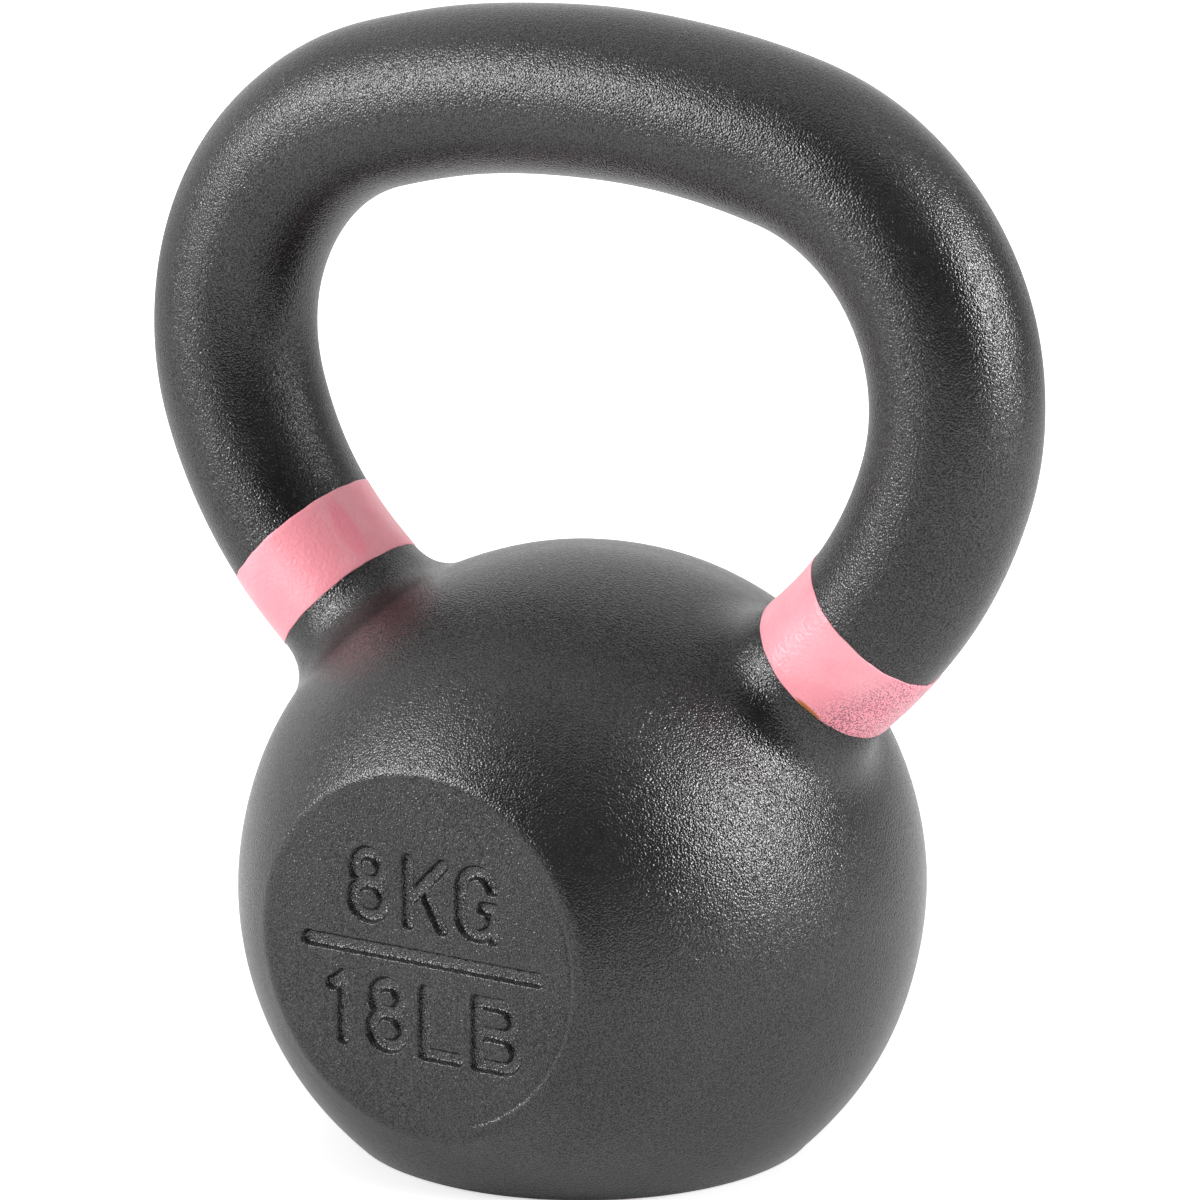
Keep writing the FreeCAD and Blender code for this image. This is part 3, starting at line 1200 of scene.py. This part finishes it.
def iron_finish():
    """Bare cast iron, ground flat at the base, with a little rust."""
    dark_iron = (0.23, 0.225, 0.22, 1)
    pale_iron = (0.36, 0.35, 0.34, 1)
    rust_brown = (0.16, 0.085, 0.05, 1)
    along_grinding = 0.06
    material, tree, shader, place = new_finish("ground_iron")
    stretched = node(tree, "ShaderNodeMapping")
    stretched.inputs["Scale"].default_value = (along_grinding, 1.0, 1.0)
    feed(tree, stretched.inputs["Vector"], place)
    marks = placed(tree, pebbles, Place=stretched.outputs[0], Grain_Size=0.5, Wrinkle=0.5)
    tone = placed(tree, drift, Place=place, Dark=dark_iron, Light=pale_iron,
                  Patch_Size=14.0, Mottle=0.6)
    rust = placed(tree, flecks, Place=place, Fleck_Size=2.5, Amount=0.3)
    colour = mixed(tree, rust["Mask"], tone["Color"], rust_brown)
    feed(tree, shader.inputs["Base Color"], colour)
    feed(tree, shader.inputs["Metallic"], stepped(tree, rust["Mask"], 0.0, 1.0, 1.0, 0.2))
    feed(tree, shader.inputs["Roughness"], stepped(tree, marks["Height"], 0.3, 1.0, 0.34, 0.5))
    feed(tree, shader.inputs["Normal"], bumped(tree, marks["Height"], depth=0.03))
    return material


def dress(piece, material):
    """Gives a piece one material all over."""
    piece.data.materials.clear()
    piece.data.materials.append(material)


# ---------------------------------------------------------------- light and floor

def seen(tree):
    """1 for what the camera, a gloss or a glass sees directly."""
    path = node(tree, "ShaderNodeLightPath").outputs
    share = maths(tree, "MAXIMUM", path["Is Camera Ray"], path["Is Glossy Ray"])
    return maths(tree, "MAXIMUM", share, path["Is Transmission Ray"])


def round_about(tree, azimuth, elevation, reach):
    """1 for rays to within half a reach of a direction, in degrees, and 0 beyond the reach."""
    facing = node(tree, "ShaderNodeVectorMath", operation="DOT_PRODUCT")
    feed(tree, facing.inputs[0], node(tree, "ShaderNodeTexCoord").outputs["Generated"])
    facing.inputs[1].default_value = direction(azimuth, elevation)
    return stepped(tree, facing.outputs["Value"], math.cos(math.radians(reach)),
                   math.cos(math.radians(reach / 2)))


def add_world():
    """White studio round the object, with a dark doorway in front and a black cloth behind."""
    world = bpy.data.worlds.new("studio")
    world.use_nodes = True
    tree = world.node_tree
    background = tree.nodes["Background"]
    background.inputs["Strength"].default_value = 1.0
    opening = round_about(tree, opening_azimuth, opening_elevation, opening_reach)
    cloth = round_about(tree, cloth_azimuth, cloth_elevation, cloth_reach)
    dark = maths(tree, "MAXIMUM", opening, scaled(tree, cloth, cloth_share))
    walls = mixed(tree, seen(tree), grey(wall_tone), grey(1.0))
    room = mixed(tree, dark, walls, grey(dark_tone))
    path = node(tree, "ShaderNodeLightPath").outputs
    feed(tree, background.inputs["Color"],
         mixed(tree, path["Is Camera Ray"], room, grey(1.0)))
    bpy.context.scene.world = world


def add_floor():
    """Pale floor that runs out into white away from the object."""
    reach = 3.0
    glow_nearby = 0.45
    glow_starts = 0.05
    glow_full = 0.6
    mesh = bpy.data.meshes.new("floor")
    corners = [(-reach, -reach, 0), (reach, -reach, 0), (reach, reach, 0), (-reach, reach, 0)]
    mesh.from_pydata(corners, [], [(0, 1, 2, 3)])
    floor = bpy.data.objects.new("floor", mesh)
    bpy.context.collection.objects.link(floor)
    material, tree, shader, place = new_finish("pale_floor")
    shader.inputs["Base Color"].default_value = grey(0.9)
    shader.inputs["Roughness"].default_value = 0.9
    shader.inputs["Specular IOR Level"].default_value = 0.0
    shader.inputs["Emission Color"].default_value = grey(1.0)
    away = node(tree, "ShaderNodeVectorMath", operation="LENGTH")
    feed(tree, away.inputs[0], place)
    path = node(tree, "ShaderNodeLightPath").outputs
    glow = stepped(tree, away.outputs["Value"], glow_starts, glow_full, glow_nearby, 1.0)
    feed(tree, shader.inputs["Emission Strength"],
         maths(tree, "MULTIPLY", path["Is Camera Ray"], glow))
    dress(floor, material)


def add_softbox(name, azimuth, elevation, width, height, power):
    """Rectangular lamp that looks at the object, in metres and watts."""
    data = bpy.data.lights.new(name, "AREA")
    data.shape = "RECTANGLE"
    data.size = width
    data.size_y = height
    data.energy = power
    lamp = bpy.data.objects.new(name, data)
    back = direction(azimuth, elevation)
    lamp.location = Vector(lamp_aim) + back * lamp_distance
    lamp.rotation_mode = "QUATERNION"
    lamp.rotation_quaternion = (-back).to_track_quat("-Z", "Y")
    bpy.context.collection.objects.link(lamp)


# ---------------------------------------------------------------- assembly

add_camera()
dress(add_coat(), coat_finish())
dress(add_band("left_band", -1), left_enamel())
dress(add_band("right_band", 1), right_enamel())
dress(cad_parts["iron_casting"], iron_finish())

add_world()
add_floor()
add_softbox("right_softbox", azimuth=96, elevation=24, width=0.29, height=0.56, power=9.2)
add_softbox("left_softbox", azimuth=-40, elevation=21.5, width=0.45, height=0.55, power=7.5)

bpy.context.scene.view_settings.view_transform = "Standard"
